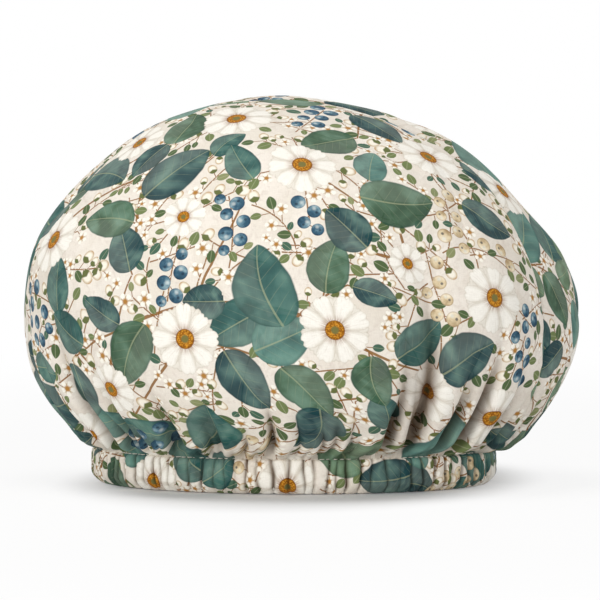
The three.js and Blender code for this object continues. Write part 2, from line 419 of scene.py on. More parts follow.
# the print; lengths in millimetres, headings in radians
motifs = {
    "layers": ("flowers", "leavesA", "leavesB", "leavesC", "berries", "buds", "stems", "twigs"),
    "lowest": -30,
    "widest": 140,  # a little over the cloth's largest mean radius
    "tries": {"bloom": 160, "berries": 26, "leafyBranch": 170, "buds": 1900, "bandLeaf": 90},
    "bloom": {"radius": (14.5, 18), "smallRadius": (10, 12.5), "largeShare": 0.75, "space": 9},
    "leaf": {"length": (27, 45), "tipLength": (20, 30), "width": (0.92, 1.22)},
    "stalk": 2.5,
    "stalkWidth": 0.46,
    "fewLeavesUnder": 42,  # the gathers hold more of the small motifs
    "bandLeaf": {"arc": (-20, 14), "length": (19, 31)},
    "leafyBranch": {"length": (48, 100), "bend": 0.006, "step": 4.6, "width": (0.85, 0.4)},
    "leafAngle": (0.65, 1.05),
    "twigAngle": (0.6, 1.1),
    "waver": 0.03,
    "sprayStep": 2.6,
    "sprayBend": 0.012,
    "twigWidth": 0.26,
    "sprayWidth": 0.4,
    "berries": {
        "length": (28, 52),
        "every": 2,
        "twig": (4.0, 6.5),
        "space": 3.6,
        "least": 0.6,
        "radius": (2.9, 4.0),
        "kinds": (0.55, 0.25, 0.2),  # blue, cream and green
    },
    "buds": {
        "length": (16, 46),
        "every": 1,
        "twig": (2.6, 8.0),
        "space": 2.0,
        "least": 0.22,
        "radius": (2.3, 4.1),
        "kinds": (0.44, 0.3, 0.26),  # small leaves, buds and small blossoms
    },
}
# how near a motif may stand to another, as a share of their two radii
near = {
    "leafToLeaf": 0.66,
    "leafToBloom": 0.72,
    "leafToSmall": 0.8,
    "sameLayer": 0.98,
    "smallToLeaf": 0.7,
    "smallToBloom": 0.97,
    "smallToSpray": 0.95,
    "smallToSmall": 0.93,
}
lineCode = {"halfLengthUnder": 20, "perWidth": 2000}  # a line's code is its half-length and 2000 half-widths


class Spots:
    # places that are taken, each with a radius
    def __init__(self):
        self.place, self.radius = np.zeros((0, 3)), np.zeros(0)

    def add(self, place, radius):
        self.place, self.radius = np.vstack([self.place, place]), np.append(self.radius, radius)

    def clear(self, place, radius, share=1.0, trim=0.0):
        far = np.linalg.norm(self.place - place, axis=1)
        return bool((far > share * (radius + self.radius - trim)).all())


class Print:
    # motifs of one panel: for each layer, where each one lies and how it is turned and sized
    def __init__(self, seed, start, end):
        self.rng = np.random.default_rng(seed)
        self.start, self.end = start, end
        self.layers = {name: [] for name in motifs["layers"]}
        self.taken = {name: Spots() for name in ("leavesA", "leavesB", "leavesC")}
        self.leaves, self.blooms, self.small, self.hearts = Spots(), Spots(), Spots(), []

    def seed(self):
        return self.rng.uniform(0, 0.999)

    def add(self, layer, turn, arc, heading, halfLength, halfWidth, code):
        p, across, up, _ = tangents(turn, arc)
        e1 = unit(heading)
        e2 = np.cross(np.cross(across, up), e1)
        self.layers[layer].append((p, e1 / halfLength, e2 / halfWidth, code, max(halfLength, halfWidth)))

    def spot(self):
        while True:  # the cloth is wider lower down, so more spots fall there
            arc = self.rng.uniform(motifs["lowest"], topArc)
            if self.rng.uniform() < np.interp(arc, clothArc, clothMean) / motifs["widest"]:
                return self.rng.uniform(self.start, self.end), arc

    def spotOrHeart(self, share):  # for this share of the calls a stem starts under a blossom
        if self.hearts and self.rng.uniform() < share:
            return self.hearts[self.rng.integers(len(self.hearts))]
        return self.spot()

    def anyHeading(self, turn, arc):
        _, across, up, _ = tangents(turn, arc)
        a = self.rng.uniform(0, 2 * np.pi)
        return across * math.cos(a) + up * math.sin(a)

    def bloom(self):
        sizes = motifs["bloom"]
        turn, arc = self.spot()
        kind = "radius" if self.rng.uniform() < sizes["largeShare"] else "smallRadius"
        radius = self.rng.uniform(*sizes[kind])
        p = clothPoint(turn, arc)
        if self.blooms.clear(p, radius + sizes["space"]):
            self.add("flowers", turn, arc, self.anyHeading(turn, arc), radius, radius, self.seed())
            self.blooms.add(p, radius + sizes["space"])
            self.hearts.append((turn, arc))

    def stem(self, layer, a, b, width):
        (turnA, arcA), (turnB, arcB) = a, b
        pa, pb = clothPoint(turnA, arcA), clothPoint(turnB, arcB)
        length = np.linalg.norm(pb - pa)
        gap = wrapped(turnB - turnA)
        if length < 0.2 or abs(gap) > 1.5:
            return
        p, across, up, _ = tangents(turnA + gap / 2, (arcA + arcB) / 2)
        e1 = unit(pb - pa)
        e2 = unit(np.cross(np.cross(across, up), e1))
        under = lineCode["halfLengthUnder"]
        code = length / 2 + under * round(lineCode["perWidth"] / under * width)
        self.layers[layer].append(((pa + pb) / 2, e1, e2, code, length / 2 + 1.5))

    def branch(self, turn, arc, heading, length, bend, step):
        path = [(turn, arc, heading)]
        for _ in range(int(length / step)):
            heading = turned(turn, arc, heading, bend * step + self.rng.normal(0, motifs["waver"]))
            turn, arc, heading = walk(turn, arc, heading, step)
            path.append((turn, arc, heading))
        return path

    # A leaf whose stalk starts here. It takes the first layer in which it is clear of its neighbours.
    def leaf(self, turn, arc, heading, length, overSmall=False):
        base, half, space = (turn, arc, heading), length / 2, motifs["bloom"]["space"]
        for _ in range(3):
            turn, arc, heading = walk(turn, arc, heading, (motifs["stalk"] + half) / 3)
        p = clothPoint(turn, arc)
        if arc < motifs["fewLeavesUnder"] and not overSmall and self.rng.uniform() < 0.5:
            return False
        if not self.leaves.clear(p, half, near["leafToLeaf"]):
            return False
        if not self.blooms.clear(p, half, near["leafToBloom"], space):
            return False
        if not overSmall and not self.small.clear(p, half * near["leafToSmall"]):
            return False
        for layer, spots in self.taken.items():
            if spots.clear(p, half, near["sameLayer"]):
                halfWidth = half * self.rng.uniform(*motifs["leaf"]["width"])
                self.add(layer, turn, arc, heading, half, halfWidth, self.seed())
                spots.add(p, half)
                self.leaves.add(p, half)
                stalkEnd = walk(*base, motifs["stalk"] + length * 0.12)
                self.stem("stems", base[:2], stalkEnd[:2], motifs["stalkWidth"])
                return True
        return False

    def leafyBranch(self):
        sizes = motifs["leafyBranch"]
        turn, arc = self.spotOrHeart(0.75)
        heading, length = self.anyHeading(turn, arc), self.rng.uniform(*sizes["length"])
        path = self.branch(turn, arc, heading, length, self.rng.normal(0, sizes["bend"]), sizes["step"])
        done, side, last = 0, 1, 0
        for i in range(1, len(path), 3):
            length = self.rng.uniform(*motifs["leaf"]["length"]) * mix(1.0, 0.74, i / len(path))
            out = turned(*path[i], side * self.rng.uniform(*motifs["leafAngle"]))
            if self.leaf(*path[i][:2], out, length):
                done, last = done + 1, i
            side = -side
        if done and self.leaf(*path[-1], self.rng.uniform(*motifs["leaf"]["tipLength"])):
            last = len(path) - 1
        for k, (a, b) in enumerate(zip(path[:last], path[1 : last + 1])):
            self.stem("stems", a[:2], b[:2], mix(*sizes["width"], k / last))

    def spray(self, kind):  # a fine sprig that carries berries, or buds, small blossoms and small leaves
        sizes, space = motifs[kind], motifs["bloom"]["space"]
        turn, arc = self.spotOrHeart(0.3)
        length = self.rng.uniform(*sizes["length"])
        heading, bend = self.anyHeading(turn, arc), self.rng.normal(0, motifs["sprayBend"])
        path = self.branch(turn, arc, heading, length, bend, motifs["sprayStep"])
        if not self.blooms.clear(clothPoint(*path[-1][:2]), 1, 1.0, space):
            return
        ends, side = [], 1
        for i in range(2, len(path), sizes["every"]):
            out = turned(*path[i], side * self.rng.uniform(*motifs["twigAngle"]))
            ends.append((path[i], walk(*path[i][:2], out, self.rng.uniform(*sizes["twig"]))))
            side = -side
        ends.append((path[-1], walk(*path[-1], 2.0)))
        size, good = sizes["space"], []
        for base, end in ends:
            p = clothPoint(*end[:2])
            free = self.leaves.clear(p, size, near["smallToLeaf"])
            free = free and self.blooms.clear(p, size, near["smallToBloom"], space)
            if free and self.small.clear(p, size, near["smallToSpray"]):
                good.append((base, end, p))
        if len(good) < max(3, len(ends) * sizes["least"]):
            return
        berry = self.rng.choice([0, 1, 2], p=motifs["berries"]["kinds"])  # the same on all of one sprig
        for base, end, p in good:
            if not self.small.clear(p, size, near["smallToSmall"]):
                continue
            self.stem("twigs", base[:2], end[:2], motifs["twigWidth"])
            half = self.rng.uniform(*sizes["radius"])
            code = self.seed()
            code += berry if kind == "berries" else self.rng.choice([0, 1, 2], p=sizes["kinds"])
            self.add(kind, *end, half, half, code)
            self.small.add(p, half * 0.95)
        for a, b in zip(path[:-1], path[1:]):
            self.stem("twigs", a[:2], b[:2], motifs["sprayWidth"])

    def bandLeaf(self):  # a leaf on the strip of cloth that becomes the band, over the small motifs
        sizes = motifs["bandLeaf"]
        turn, arc = self.rng.uniform(self.start, self.end), self.rng.uniform(*sizes["arc"])
        self.leaf(turn, arc, self.anyHeading(turn, arc), self.rng.uniform(*sizes["length"]), overSmall=True)

    def fill(self, share):
        makers = {
            "bloom": self.bloom,
            "berries": lambda: self.spray("berries"),
            "leafyBranch": self.leafyBranch,
            "buds": lambda: self.spray("buds"),
            "bandLeaf": self.bandLeaf,
        }
        for kind, make in makers.items():
            for _ in range(int(motifs["tries"][kind] * share)):
                make()
        print("motifs", {k: len(v) for k, v in self.layers.items()})
        return self


frontPrint = Print(5, -np.pi - 0.15, 0.15).fill(1.0)
backPrint = Print(8, -0.75, np.pi + 0.75).fill(1.45)


def cellCorners(grid):
    return np.stack([grid[:-1, :-1], grid[:-1, 1:], grid[1:, 1:], grid[1:, :-1]], 2)


noMotif = (9.0, 9.0, 0.0)  # a place outside every motif


# For each layer, each face's corners in the coordinates of the motif that it is nearest to.
def layPrint(corners, layout):
    rows, columns = corners.shape[0] - 1, corners.shape[1] - 1
    quad = cellCorners(corners).reshape(-1, 4, 3)
    middle = quad.mean(1)
    tree = KDTree(len(middle))
    for i, p in enumerate(middle):
        tree.insert(p, i)
    tree.balance()
    made = {}
    for name, items in layout.layers.items():
        best = np.full(len(middle), np.inf)
        pick = np.full(len(middle), -1)
        line = name in ("stems", "twigs")
        for k, (centre, e1, e2, code, reach) in enumerate(items):
            hits = [i for _, i, _ in tree.find_range(centre, reach * 1.3 + (1.0 if line else 0.5))]
            if not hits:
                continue
            hits = np.array(hits)
            d = middle[hits] - centre
            x, y = d @ e1, d @ e2
            if line:
                x = np.maximum(np.abs(x) - code % lineCode["halfLengthUnder"], 0)
            rho = np.hypot(x, y)
            closer = rho < best[hits]
            best[hits[closer]] = rho[closer]
            pick[hits[closer]] = k
        place = np.zeros((len(middle), 4, 3)) + noMotif
        has = pick >= 0
        if has.any():
            centre, e1, e2 = (np.array([item[j] for item in items])[pick[has]] for j in (0, 1, 2))
            code = np.array([item[3] for item in items])[pick[has]]
            d = quad[has] - centre[:, None]
            place[has, :, 0] = (d * e1[:, None]).sum(-1)
            place[has, :, 1] = (d * e2[:, None]).sum(-1)
            place[has, :, 2] = code[:, None]
        made[name] = place.reshape(rows, columns, 4, 3)
    return made


print("print laid out")


def gridNormals(p, closed):
    across = np.roll(p, -1, 1) - np.roll(p, 1, 1) if closed else np.gradient(p, axis=1)
    return unit(np.cross(across, np.gradient(p, axis=0)))


# the bake map: the outer face fills the upper part, the inner face the lower, and the rims a strip under both
bakeMap = {"side": 0.005, "outer": (0.345, 0.995), "inner": (0.03, 0.335), "rim": (0.005, 0.02)}


def bakePlaces(rows, columns, rimCount):
    side = bakeMap["side"]
    u, v = np.linspace(side, 1 - side, columns)[None, :], np.linspace(0, 1, rows)[:, None]
    uv = np.stack(np.broadcast_arrays(u, v), -1)
    cell = cellCorners(uv).reshape(-1, 4, 2)
    top, low = cell.copy(), cell[:, ::-1].copy()
    top[..., 1] = mix(*bakeMap["outer"], top[..., 1])
    low[..., 1] = mix(*bakeMap["inner"], low[..., 1])
    rim = np.zeros((rimCount, 4, 2))
    t = (np.arange(rimCount) + 0.5) / rimCount
    rim[..., 0] = (side + (1 - 2 * side) * t[:, None]) + np.array([-0.4, 0.4, 0.4, -0.4]) / rimCount
    rim[..., 1] = np.repeat(bakeMap["rim"], 2)
    return np.concatenate([top, low, rim])


def linked(name, mesh):
    ob = bpy.data.objects.new(name, mesh)
    bpy.context.collection.objects.link(ob)
    return ob


# A sheet of cloth with an outer and an inner face and narrow rims. outer is a grid of points in millimetres.
# cloth is the same grid's flat place (across, along) in millimetres and how deep in a valley it lies, which
# sets the painted shade there.
def clothMesh(name, outer, thickness, layers, cloth, closed=False):
    rows, columns = outer.shape[:2]
    inner = outer - gridNormals(outer, closed) * thickness
    points = np.concatenate([outer.reshape(-1, 3), inner.reshape(-1, 3)]) * mm
    cells = rows * columns
    index = np.arange(cells).reshape(rows, columns)
    nextColumn = np.roll(index, -1, 1) if closed else index[:, 1:]
    here = index if closed else index[:, :-1]
    quads = np.stack([here[:-1], nextColumn[:-1], nextColumn[1:], here[1:]], -1).reshape(-1, 4)
    faces = [quads, quads[:, ::-1] + cells]
    rims = [(here[0], nextColumn[0], False), (here[-1], nextColumn[-1], True)]
    if not closed:
        rims += [(index[:-1, 0], index[1:, 0], True), (index[:-1, -1], index[1:, -1], False)]
    for a, b, flip in rims:
        rim = np.stack([a, b, b + cells, a + cells], -1)
        faces.append(rim[:, ::-1] if flip else rim)
    allFaces = np.concatenate(faces)
    rimCount = len(allFaces) - 2 * len(quads)
    mesh = bpy.data.meshes.new(name)
    mesh.vertices.add(len(points))
    mesh.vertices.foreach_set("co", points.astype(np.float32).ravel())
    mesh.loops.add(allFaces.size)
    mesh.loops.foreach_set("vertex_index", allFaces.astype(np.int32).ravel())
    mesh.polygons.add(len(allFaces))
    mesh.polygons.foreach_set("loop_start", np.arange(0, allFaces.size, 4, dtype=np.int32))
    mesh.update(calc_edges=True)
    mesh.polygons.foreach_set("use_smooth", np.ones(len(allFaces), bool))
    slots = np.zeros(len(allFaces), np.int32)
    slots[len(quads) : 2 * len(quads)] = 1  # the inner face has the cloth's wrong side
    mesh.polygons.foreach_set("material_index", slots)

    def attribute(key, kind, data):
        made = mesh.attributes.new(key, "FLOAT_VECTOR", kind)
        made.data.foreach_set("vector", data.astype(np.float32).ravel())

    for key, place in layers.items():
        flat = place.reshape(-1, 4, 3)
        rim = np.zeros((rimCount, 4, 3)) + noMotif
        attribute(key, "CORNER", np.concatenate([flat, flat[:, ::-1], rim]))
    attribute("clothPlaceAndShade", "POINT", np.concatenate([cloth.reshape(-1, 3)] * 2))
    uv = bakePlaces(rows, columns + (1 if closed else 0), rimCount)
    mesh.uv_layers.new(name="OFBake").uv.foreach_set("vector", uv.astype(np.float32).ravel())
    return linked(name, mesh)


def sheetArea(grid):
    a, b = grid[:-1, 1:] - grid[:-1, :-1], grid[1:, :-1] - grid[:-1, :-1]
    return float(np.linalg.norm(np.cross(a, b), axis=-1).sum()) * mm * mm


# the band; the crown's lower edge is tucked into it
band = {
    "halfWidth": 97.3,
    "halfDepth": 82.5,
    "height": 17.0,
    "shift": 3.0,
    "pleatDepth": 3.2,
    "waves": ((0.35, 9, 1.3), (0.25, 23, 0.4)),  # slow unevenness all round: size, count and phase
    "footScallop": 1.9,
    "topDip": 0.35,
    "thickness": 0.45,
    # scale of the painted shade in the valleys of the band's pleats
    "darkest": 1.2,
}


def flanges(point, side):  # the seam allowance at both ends of a panel, turned in along the seam
    parts = []
    for end in (0, -1):
        edge = point[:, end]
        inwards = np.array([-crown["topLean"] / 2, 0, crown["equator"]]) - edge
        inwards[:, 1] = 0
        inwards[:, 2] *= np.clip((edge[:, 2] - 40) / 60, 0.2, 1)
        inwards = unit(inwards)
        upwards = np.clip(np.arange(len(edge)) / 14, 0, 1)[:, None]
        trimmed = mix(0.25, 1, upwards)  # the allowance is cut short at the band
        away = np.array([0, 0.35 * side, 0])
        strip = [edge + inwards * s * trimmed + away * min(s, 1) for s in crown["allowance"]]
        parts.append(np.stack(strip, 1))
    return np.concatenate([parts[0][:, ::-1], point, parts[1]], 1)


def crownPanel(side, name, layout):
    point, turn, onCloth, valley = crownGrid(side)
    # the edge that is tucked into the band, below the stitches
    out = np.stack([np.cos(turn[0]), np.sin(turn[0]), 0 * turn[0]], -1)
    edge = np.array([band["halfWidth"] - crown["tuckInset"], band["halfDepth"] - crown["tuckInset"], 0])
    tucked = []
    for down in crown["tucked"]:
        row = out * (edge + 0.25 * np.sin(turn[0] * 77)[:, None]) - np.array([band["shift"], 0, 0])
        row[:, 2] = crown["tuckHeight"] - down
        tucked.append(row)
    point = np.concatenate([np.stack(tucked), point])
    arcs = np.concatenate([-np.array(crown["tucked"]), crownArcs])[:, None] + 0 * point[..., 0]
    onCloth = np.concatenate([np.repeat(onCloth[:1], len(tucked), 0), onCloth])
    valley = np.concatenate([np.repeat(valley[:1], len(tucked), 0), valley])
    cloth = clothPoint(onCloth, arcs)
    extra = len(crown["allowance"])
    aside = ((0, 0), (extra, extra), (0, 0))
    layers = {k: np.pad(v, (*aside, (0, 0)), mode="edge") for k, v in layPrint(cloth, layout).items()}
    middle = side * np.pi / 2
    acrossCloth = (onCloth - middle) * np.interp(arcs, clothArc, clothMean)
    # the third value is the painted shade in the valleys of the gathers and along the seam's crease
    flat = np.stack([acrossCloth, arcs, np.clip(valley / crown["fullShadeValley"], 0, 1)], -1)
    flat = np.pad(flat, aside, mode="edge")
    flat[:, :extra, 0] -= np.array(crown["allowance"][::-1])
    flat[:, -extra:, 0] += np.array(crown["allowance"])
    ob = clothMesh(name, flanges(point, side), crown["thickness"], layers, flat)
    return ob, sheetArea(cloth), (turn[0], onCloth[0])


frontPanel, frontArea, frontEdge = crownPanel(-1, "crown_front_cloth", frontPrint)
backPanel, backArea, backEdge = crownPanel(1, "crown_back_cloth", backPrint)
print("crown panels built", round(frontArea, 4), round(backArea, 4))


def bandValleys(turn, low):  # 0 on a ridge to about 1 in a valley; low is 0 at the stitches and 1 at the foot
    swayed = turn + 0.008 * np.sin(9 * turn) * low + 0.005 * np.sin(31 * turn + 5 * low)
    strong = finePleats.at(swayed, 0 * low, 0) / folding["finePleats"]["depths"][1]
    return strong**1.35 * (0.86 + 0.14 * np.sin(17 * turn + 4 * low))


def bandPath():  # the strip over its section: inset from the band's outside, height and share of the pleats
    top = [(2.6, 15.5, 0.3), (2.0, 16.3, 0.5), (1.2, 16.8, 0.8), (0.2, 16.8, 0.95), (-0.7, 16.3, 1)]
    top += [(-1.3, 15.4, 1)]
    outside = [(-1.65 + 0.08 * math.sin(k), z, 1) for k, z in enumerate(np.arange(13.6, 5.6, -0.75))]
    foot = [(-1.55, 5.0, 1), (-1.25, 4.1, 1), (-0.75, 3.3, 1), (-0.1, 2.5, 0.9), (0.6, 1.8, 0.8)]
    foot += [(1.4, 1.15, 0.65), (2.2, 0.6, 0.5), (3.0, 0.2, 0.4), (3.8, 0.0, 0.3), (4.5, 0.05, 0.25)]
    foot += [(5.0, 0.4, 0.2), (5.4, 1.0, 0.2)]
    inside = [(5.6, 1.8, 0.25)] + [(5.75, z, 0.35) for z in np.arange(2.8, 15.0, 1.1)]
    return np.array(top + outside + foot + inside + [(5.6, 15.2, 0.3), (5.2, 16.2, 0.2)])


def bandCloth():
    turn = np.concatenate([frontEdge[0][:-1], backEdge[0][:-1]])[None, :]
    onCloth = np.concatenate([frontEdge[1][:-1], backEdge[1][:-1]])[None, :]
    inFront = np.arange(turn.size) < frontEdge[0].size - 1
    path = bandPath()
    inset, z, share = path[:, 0:1], path[:, 1:2], path[:, 2:3]
    run = np.concatenate([[0], np.cumsum(np.hypot(np.diff(path[:, 0]), np.diff(path[:, 1])))])
    low = np.clip((band["height"] - z) / band["height"], 0, 1)
    outside = (np.arange(len(path)) < np.argmin(path[:, 1]) + 3)[:, None]
    valley = bandValleys(turn, np.where(outside, low, 1 - 0.2 * low))
    slow = sum(size * np.sin(turn * count + phase) for size, count, phase in band["waves"])
    push = band["pleatDepth"] * valley * share
    inset = inset + np.where(outside, push, -0.4 * push) + slow * 0.5 * share * np.where(outside, 1, 0)
    height = z + band["footScallop"] * valley * ease(5, 0.3, z) * np.where(inset < 3, 1, 0.3)
    height = height - band["topDip"] * valley * ease(14, 16.6, z)
    x = (band["halfWidth"] - inset) * np.cos(turn) - band["shift"]
    y = (band["halfDepth"] - inset) * np.sin(turn)
    point = np.stack([x, y, np.maximum(height, 0) + 0 * turn], -1)
    arcs = -run[:, None] + 1.5 + 0 * turn  # the print runs on from the crown's at the stitches
    cloth = clothPoint(onCloth + 0 * arcs, arcs)
    ring = np.concatenate([cloth, cloth[:, :1]], 1)
    madeFront, madeBack = layPrint(ring, frontPrint), layPrint(ring, backPrint)
    # painted shade in the valleys of the pleats
    dark = band["darkest"] * valley**0.8 * share
    flat = np.stack([onCloth * np.interp(arcs, clothArc, clothMean), arcs, dark], -1)
    layers = {}
    for key in madeFront:  # wound the other way, so that the outside faces out
        both = np.where(inFront[None, :, None, None], madeFront[key], madeBack[key])
        layers[key] = both[::-1][:, :, [3, 2, 1, 0]]
    ob = clothMesh("band_casing_cloth", point[::-1], band["thickness"], layers, flat[::-1], closed=True)
    return ob, sheetArea(ring), run[-1]


bandPiece, bandArea, bandRun = bandCloth()
print("band built", round(bandArea, 4), "strip", round(bandRun, 1))


def paint(r, g, b):  # sRGB values from 0 to 255 as linear RGBA
    shares = (c / 255 for c in (r, g, b))
    return tuple(c / 12.92 if c <= 0.04045 else ((c + 0.055) / 1.055) ** 2.4 for c in shares) + (1.0,)


class Value:
    # one output of a node, so that sums of outputs can be written plainly
    def __init__(self, nodes, socket):
        self.nodes, self.socket = nodes, socket

    def __add__(self, other):
        return self.nodes.calc("ADD", self, other)

    def __sub__(self, other):
        return self.nodes.calc("SUBTRACT", self, other)

    def __rsub__(self, other):
        return self.nodes.calc("SUBTRACT", other, self)

    def __mul__(self, other):
        return self.nodes.calc("MULTIPLY", self, other)

    def __pow__(self, other):
        return self.nodes.calc("POWER", self, other)

    def __mod__(self, other):
        return self.nodes.calc("MODULO", self, other)

    def __gt__(self, other):
        return self.nodes.calc("GREATER_THAN", self, other)

    def __abs__(self):
        return self.nodes.calc("ABSOLUTE", self)

    def sine(self):
        return self.nodes.calc("SINE", self)

    def fraction(self):
        return self.nodes.calc("FRACT", self)


class Nodes:
    # short calls that add nodes to one tree
    def __init__(self, tree):
        self.tree = tree

    def put(self, socket, value):
        value = value.socket if isinstance(value, Value) else value
        if isinstance(value, bpy.types.NodeSocket):
            self.tree.links.new(value, socket)
        elif value is not None:
            socket.default_value = value

    def new(self, kind, *inputs, **settings):
        made = self.tree.nodes.new(kind)
        for key, value in settings.items():
            setattr(made, key, value)
        for socket, value in zip(made.inputs, inputs):
            self.put(socket, value)
        return made

    def calc(self, operation, *inputs):
        return Value(self, self.new("ShaderNodeMath", *inputs, operation=operation).outputs[0])

    def clamped(self, x):
        return self.calc("MINIMUM", self.calc("MAXIMUM", x, 0.0), 1.0)

    def length(self, x, y):
        return (x * x + y * y) ** 0.5

    def step(self, x, low, high):  # 0 where x is at low or below it, 1 at high; high may be less than low
        n = self.new("ShaderNodeMapRange", interpolation_type="SMOOTHSTEP")
        flip = low > high
        values = (x, min(low, high), max(low, high), 1.0 if flip else 0.0, 0.0 if flip else 1.0)
        for key, value in zip(("Value", "From Min", "From Max", "To Min", "To Max"), values):
            self.put(n.inputs[key], value)
        return Value(self, n.outputs["Result"])

    def blend(self, share, a, b, how="MIX"):
        n = self.new("ShaderNodeMix", data_type="RGBA", blend_type=how)
        for k, value in ((0, share), (6, a), (7, b)):
            self.put(n.inputs[k], value)
        return n.outputs[2]

    def split(self, vector):
        return [Value(self, socket) for socket in self.new("ShaderNodeSeparateXYZ", vector).outputs]

    def join(self, x, y, z):
        return self.new("ShaderNodeCombineXYZ", x, y, z).outputs[0]

    def noise(self, vector, scale, detail=2.0, rough=0.5, warp=0.0):
        n = self.new("ShaderNodeTexNoise")
        keys = ("Vector", "Scale", "Detail", "Roughness", "Distortion")
        for key, value in zip(keys, (vector, scale, detail, rough, warp)):
            self.put(n.inputs[key], value)
        return Value(self, n.outputs["Fac"])

    def ramp(self, x, stops, constant=False):
        n = self.new("ShaderNodeValToRGB", x)
        n.color_ramp.interpolation = "CONSTANT" if constant else "LINEAR"
        while len(n.color_ramp.elements) < len(stops):
            n.color_ramp.elements.new(1.0)
        for element, (at, colour) in zip(n.color_ramp.elements, stops):
            element.position, element.color = at, colour
        return n.outputs[0]

    def hashOf(self, seed, salt):  # a number from 0 to 1 that is different for each seed and salt
        return ((seed * (78.233 + salt)).sine() * 437.58).fraction()

    def attribute(self, name):
        return self.new("ShaderNodeAttribute", attribute_name=name).outputs["Vector"]

    def group(self, tree, vector):  # a node group's outputs by name
        made = self.new("ShaderNodeGroup", node_tree=tree)
        self.put(made.inputs[0], vector)
        return {socket.name: Value(self, socket) for socket in made.outputs}

    def bump(self, shader, height, strength, distance):
        n = self.new("ShaderNodeBump")
        for key, value in (("Strength", strength), ("Distance", distance), ("Height", height)):
            self.put(n.inputs[key], value)
        self.put(shader.inputs["Normal"], n.outputs[0])


def makeGroup(name, source, outputs):  # a node group with one vector input
    tree = bpy.data.node_groups.new(name, "ShaderNodeTree")
    tree.interface.new_socket(source, in_out="INPUT", socket_type="NodeSocketVector")
    for key in outputs:
        kind = "NodeSocketColor" if key == "Colour" else "NodeSocketFloat"
        tree.interface.new_socket(key, in_out="OUTPUT", socket_type=kind)
    g = Nodes(tree)
    return g, g.new("NodeGroupInput").outputs[0], g.new("NodeGroupOutput").inputs


leafLook = {
    "tones": [
        (0.0, paint(23, 68, 76)),
        (0.30, paint(39, 94, 91)),
        (0.52, paint(60, 95, 68)),
        (0.74, paint(104, 132, 99)),
        (0.88, paint(88, 134, 126)),
    ],
    "light": paint(138, 176, 158),
    "edge": paint(22, 50, 50),
    "rib": paint(172, 178, 142),
    "half": paint(205, 212, 196),
    "width": 1.62,
    "bend": 0.34,
    "waver": 0.07,
    "lightShare": 0.5,
    "darkShare": 0.6,
    "halfShare": 0.1,  # one half of a leaf is a little paler
    "edgeShare": 0.42,
    "veinShare": 0.2,
    "ribShare": 0.52,
    "veins": 3.6,
    "veinSlant": 3.0,
}


def leafGroup():  # a pointed oval: x from -1 at the stalk to 1 at the tip, y across, z a seed
    g, place, end = makeGroup("PrintLeaf", "Place", ("Colour", "Mask"))
    look = leafLook
    x, y, seed = g.split(place)
    s = g.clamped((x + 1.0) * 0.5)
    bend = (g.hashOf(seed, 3.1) - 0.5) * look["bend"]
    bent = y - bend * (x * x - 0.5)
    side = abs(bent)
    width = s**0.52 * (1.0 - s) ** 0.74 * look["width"]
    grain = g.join(x, y, seed * 40.0)
    inside = width - side + (g.noise(grain, 3.0, 1.0) - 0.5) * look["waver"]
    colour = g.ramp(g.hashOf(seed, 9.7), look["tones"], constant=True)
    wash = g.noise(grain, 1.3, 2.0, 0.5, 0.4)
    colour = g.blend(g.step(wash, 0.38, 0.82) * look["lightShare"], colour, look["light"])
    colour = g.blend(g.step(wash, 0.6, 0.18) * look["darkShare"], colour, look["edge"])
    colour = g.blend(g.step(bent, 0.0, 0.1) * look["halfShare"], colour, look["half"])
    colour = g.blend(g.step(inside, 0.14, 0.0) * look["edgeShare"], colour, look["edge"])
    rib = abs((x * look["veins"] - side * look["veinSlant"]).fraction() - 0.5)
    veins = g.step(rib, 0.06, 0.0) * g.step(side, 0.62, 0.25)
    colour = g.blend(veins * look["veinShare"], colour, look["rib"])
    midrib = g.step(side - (1.0 - s) * 0.016, 0.02, 0.0)
    g.put(end["Colour"], g.blend(midrib * look["ribShare"], colour, look["rib"]))
    g.put(end["Mask"], g.step(inside, 0.0, 0.045))
    return g.tree


flowerLook = {
    "petals": 8,
    "lowSize": 0.93,
    "topSize": 0.98,
    "white": paint(252, 249, 241),
    "shadow": paint(176, 160, 132),
    "rays": paint(146, 92, 36),
    "discDark": paint(150, 92, 22),
    "discLight": paint(214, 150, 48),
    "heart": paint(122, 116, 66),
    "discEdge": paint(106, 62, 20),
}


